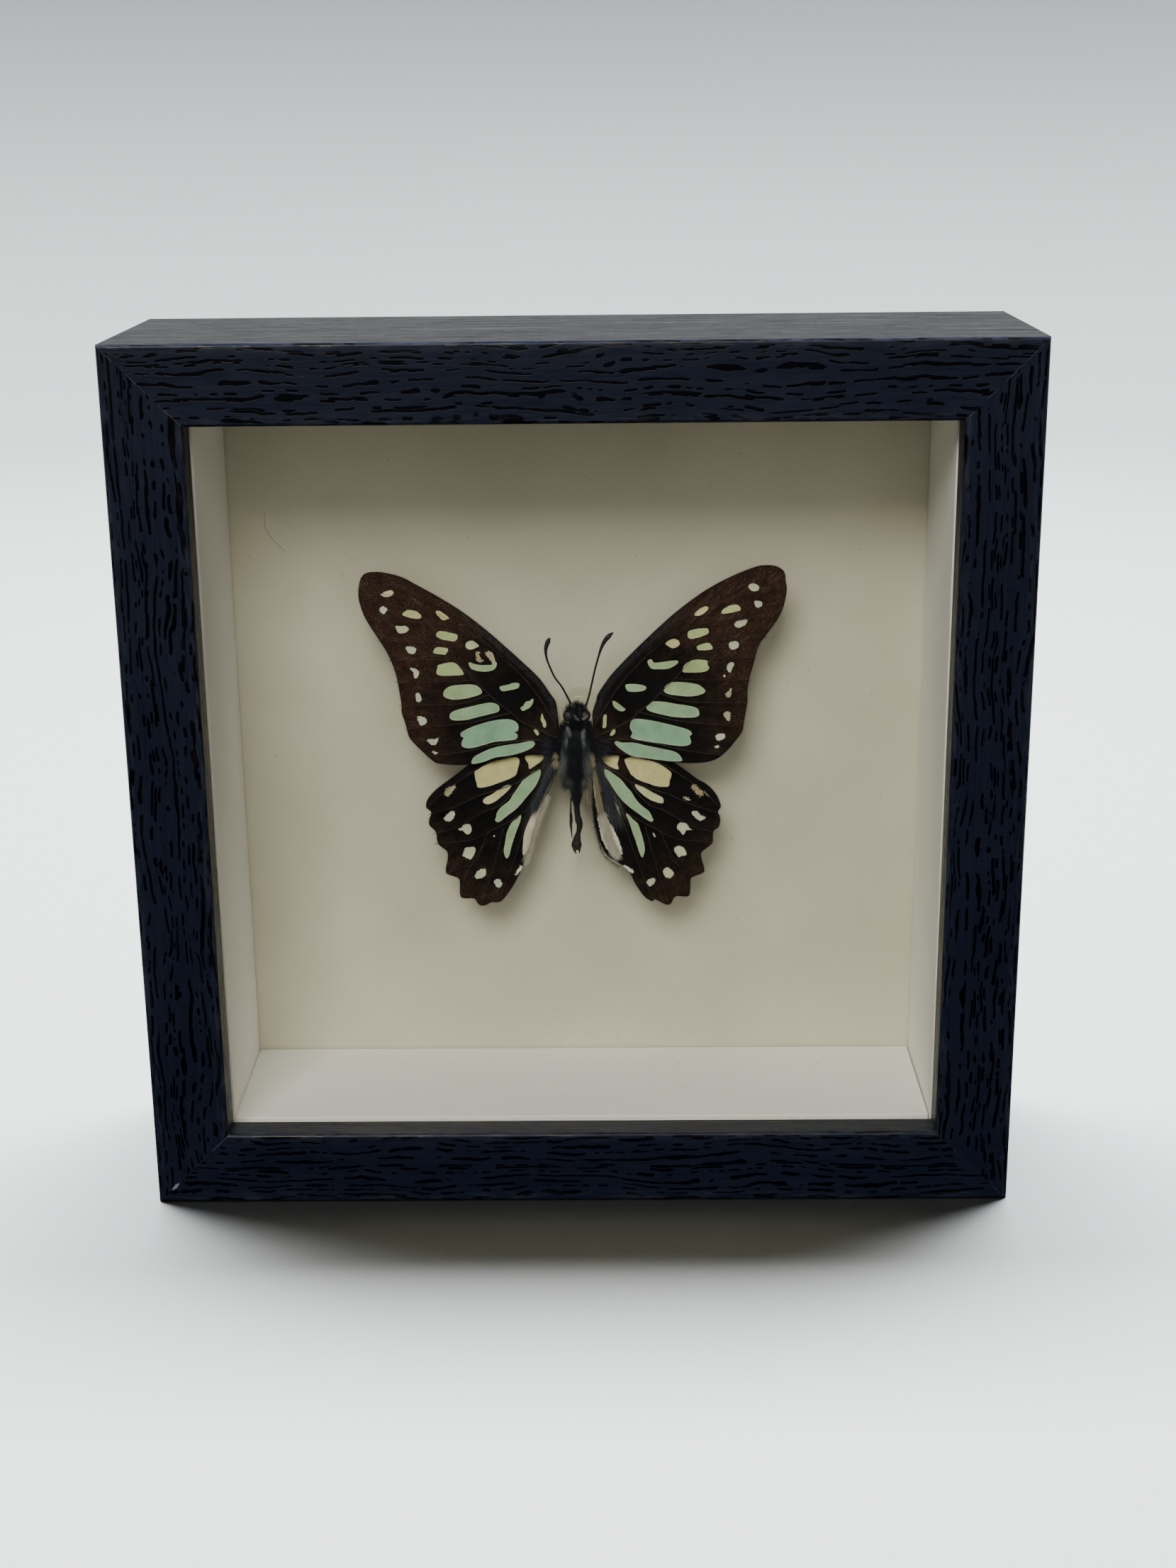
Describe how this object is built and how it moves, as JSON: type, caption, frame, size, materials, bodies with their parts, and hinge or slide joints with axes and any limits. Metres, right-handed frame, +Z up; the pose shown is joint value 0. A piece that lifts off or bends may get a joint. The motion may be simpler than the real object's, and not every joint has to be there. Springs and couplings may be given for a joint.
{
  "type": "framed butterfly specimen",
  "caption": "Spread butterfly with black and pale green wings, held off a cream mount board inside a square deep box frame with a glass front.",
  "frame": {"origin": "centre of the footprint under the bottom rail, at the height of its bottom face", "axes": "+X to the right seen from the front, +Y from the glass front to the back, +Z up"},
  "size_m": [0.15, 0.044, 0.15],
  "materials": {
    "rail_foil": "navy black foil with embossed oak grain over fibreboard, satin",
    "glass": "clear float glass, polished",
    "spacer_card": "white foam-centred card strip, matte",
    "mount_board": "cream mount board, fine matte tooth",
    "backing_board": "brown hardboard, smooth side out",
    "tab_steel": "zinc plated flexible steel points",
    "hanger_steel": "zinc plated sawtooth hanging plate",
    "clear_post": "clear glue-stick post, glossy",
    "body": "blue-black cuticle with grey hair",
    "antenna": "dark brown cuticle",
    "wing": "black-brown wing scales with mint green and cream windows"
  },
  "bodies": {
    "root": {"rail_top": "rail_foil", "rail_bottom": "rail_foil", "rail_left": "rail_foil", "rail_right": "rail_foil", "glass": "glass", "spacer_top": "spacer_card", "spacer_bottom": "spacer_card", "spacer_left": "spacer_card", "spacer_right": "spacer_card", "mount_board": "mount_board", "backing_board": "backing_board", "tab_top_1": "tab_steel", "tab_top_2": "tab_steel", "tab_bottom_1": "tab_steel", "tab_bottom_2": "tab_steel", "tab_left_1": "tab_steel", "tab_left_2": "tab_steel", "tab_right_1": "tab_steel", "tab_right_2": "tab_steel", "hanger": "hanger_steel", "clear_post": "clear_post", "head": "body", "thorax": "body", "abdomen": "body", "leg": "body", "antenna_left": "antenna", "antenna_right": "antenna", "forewing_left": "wing", "forewing_right": "wing", "hindwing_left": "wing", "hindwing_right": "wing"}
  },
  "joints": []
}
